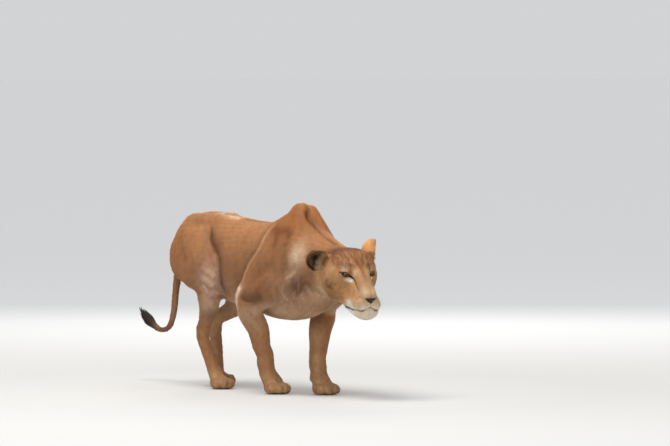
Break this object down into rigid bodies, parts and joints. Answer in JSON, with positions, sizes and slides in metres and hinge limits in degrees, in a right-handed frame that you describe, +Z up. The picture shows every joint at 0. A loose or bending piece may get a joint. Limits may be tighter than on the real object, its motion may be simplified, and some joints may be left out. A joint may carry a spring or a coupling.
{
  "type": "lioness",
  "caption": "Life-size museum model of a lioness in a low stalking walk, its head lowered and its tail hanging with the end curled up.",
  "frame": {"origin": "bottom centre of the bounding box, on the floor between the paws", "axes": "+X is the way the lioness faces, +Y is its left side, +Z is up"},
  "size_m": [1.7714, 0.4454, 0.8184],
  "materials": {
    "coat": "short tawny fur, paler below and on the chin",
    "dark_coat": "blackish brown fur of the tail's tuft",
    "nose": "moist dark nose leather",
    "eye": "clear wet eye with an amber brown iris"
  },
  "bodies": {
    "root": {"chest": "coat", "ear_left": "coat", "ear_right": "coat", "eye_left": "eye", "eye_right": "eye", "forearm_left": "coat", "forearm_right": "coat", "forepaw_left": "coat", "forepaw_right": "coat", "head": "coat", "hindfoot_left": "coat", "hindfoot_right": "coat", "hindpaw_left": "coat", "hindpaw_right": "coat", "hips": "coat", "neck": "coat", "nose_pad": "nose", "shank_left": "coat", "shank_right": "coat", "shoulder_left": "coat", "shoulder_right": "coat", "tail_base": "coat", "tail_end": "coat", "tail_middle": "coat", "tail_tuft": "dark_coat", "thigh_left": "coat", "thigh_right": "coat"}
  },
  "joints": []
}
